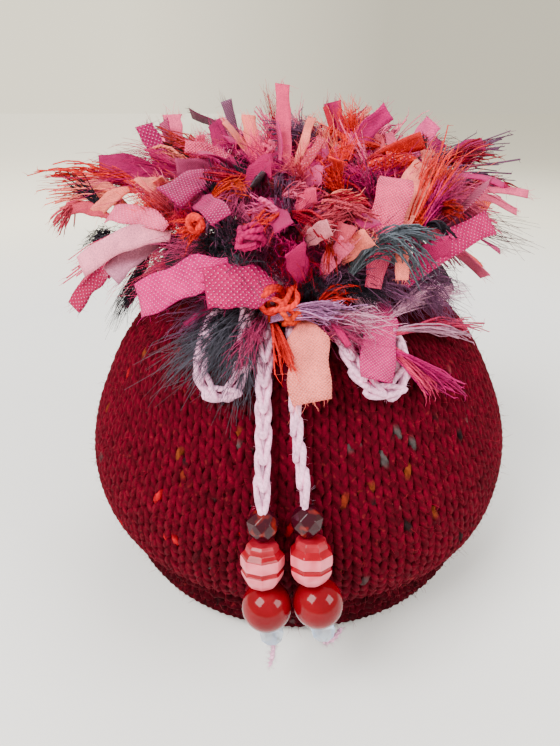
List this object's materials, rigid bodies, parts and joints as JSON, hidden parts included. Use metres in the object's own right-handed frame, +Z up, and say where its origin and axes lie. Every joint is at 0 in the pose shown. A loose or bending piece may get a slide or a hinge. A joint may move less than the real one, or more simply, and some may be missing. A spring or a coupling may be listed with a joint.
{
  "type": "tea cosy",
  "caption": "Knitted tea cosy, open at the base and at both side slits, gathered by a beaded drawstring bow under a shaggy ribbon-yarn mop.",
  "frame": {"origin": "centre of the hem's resting circle, on the surface that the cosy stands on", "axes": "+Z up; -Y is the front, with the bow and beads; the spout slit faces -X and the handle slit +X"},
  "size_m": [0.18, 0.1949, 0.1895],
  "materials": {
    "crimson_knit": "fuzzy hand-knit wool tweed",
    "ribbon_yarn": "mixed ribbon, eyelash and slub yarns",
    "lilac_chain": "soft mercerised cotton crochet chain",
    "garnet_glass": "dark faceted glass, glossy",
    "frosted_bead": "frosted resin with bright red grooves",
    "red_glass": "glossy red, slightly clear at the rim",
    "clear_crystal": "clear faceted crystal"
  },
  "bodies": {
    "root": {"panel_front": "crimson_knit", "panel_back": "crimson_knit", "mop": "ribbon_yarn", "drawstring": "lilac_chain", "bow_knot": "lilac_chain", "loop_left": "lilac_chain", "loop_right": "lilac_chain", "tail_left": "lilac_chain", "tail_right": "lilac_chain", "thread_left": "lilac_chain", "thread_right": "lilac_chain", "garnet_left": "garnet_glass", "barrel_left": "frosted_bead", "ball_left": "red_glass", "crystal_left": "clear_crystal", "garnet_right": "garnet_glass", "barrel_right": "frosted_bead", "ball_right": "red_glass", "crystal_right": "clear_crystal"}
  },
  "joints": []
}
